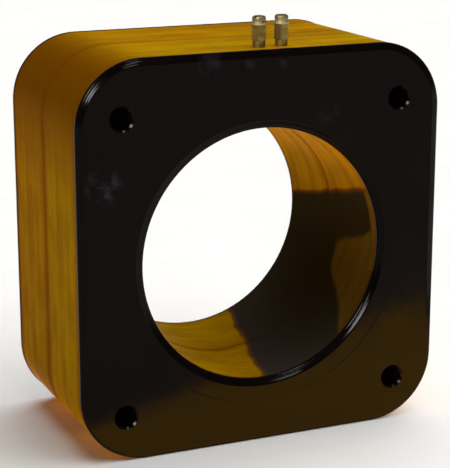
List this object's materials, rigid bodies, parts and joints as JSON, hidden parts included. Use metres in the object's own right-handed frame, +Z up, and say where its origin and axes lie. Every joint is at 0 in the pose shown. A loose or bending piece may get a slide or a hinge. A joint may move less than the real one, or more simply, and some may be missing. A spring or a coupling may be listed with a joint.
{
  "type": "window-type current transformer",
  "caption": "Rounded-square current transformer block with a large round window, black end plates, amber taped walls, corner bolt holes and screw terminals on top.",
  "frame": {"origin": "under the middle of the block, on the plane that it stands on", "axes": "+Z up towards the terminals, +Y along the window's axis from the front plate to the rear plate, +X to the right as seen from the front"},
  "size_m": [0.254, 0.134, 0.2806],
  "materials": {
    "black_moulding": "gloss black moulded phenolic",
    "outer_tape": "glossy golden-brown varnished tape",
    "window_tape": "glossy golden-brown varnished tape",
    "case_board": "brown laminated insulating board",
    "potting": "dark potting resin",
    "core_steel": "wound electrical steel strip",
    "pressboard": "tan pressboard",
    "winding_wire": "enamelled copper wire",
    "wrap": "resin-soaked insulating wrap",
    "sleeve_steel": "zinc-plated steel tube",
    "terminal_moulding": "moulded insulating block",
    "terminal_brass": "dull plated brass",
    "washer_steel": "plated spring steel",
    "lug_metal": "tinned copper",
    "lead_wire": "enamelled copper wire"
  },
  "bodies": {
    "root": {"front_plate": "black_moulding", "rear_plate": "black_moulding", "outer_tape_front": "outer_tape", "outer_tape_rear": "outer_tape", "window_tape_front": "window_tape", "window_tape_rear": "window_tape", "case_band": "case_board", "window_tube": "case_board", "potting_resin": "potting", "core": "core_steel", "core_collar_front": "pressboard", "core_collar_rear": "pressboard", "core_sleeve_inner": "pressboard", "core_sleeve_outer": "pressboard", "secondary_winding": "winding_wire", "winding_wrap": "wrap", "terminal_block": "terminal_moulding", "bolt_sleeve_bottom_left": "sleeve_steel", "bolt_sleeve_top_left": "sleeve_steel", "bolt_sleeve_bottom_right": "sleeve_steel", "bolt_sleeve_top_right": "sleeve_steel", "terminal_post_left": "terminal_brass", "clamp_washer_left": "terminal_brass", "lock_washer_left": "washer_steel", "terminal_screw_left": "terminal_brass", "lug_nut_left": "terminal_brass", "lead_lug_left": "lug_metal", "winding_lead_left": "lead_wire", "terminal_post_right": "terminal_brass", "clamp_washer_right": "terminal_brass", "lock_washer_right": "washer_steel", "terminal_screw_right": "terminal_brass", "lug_nut_right": "terminal_brass", "lead_lug_right": "lug_metal", "winding_lead_right": "lead_wire"}
  },
  "joints": []
}
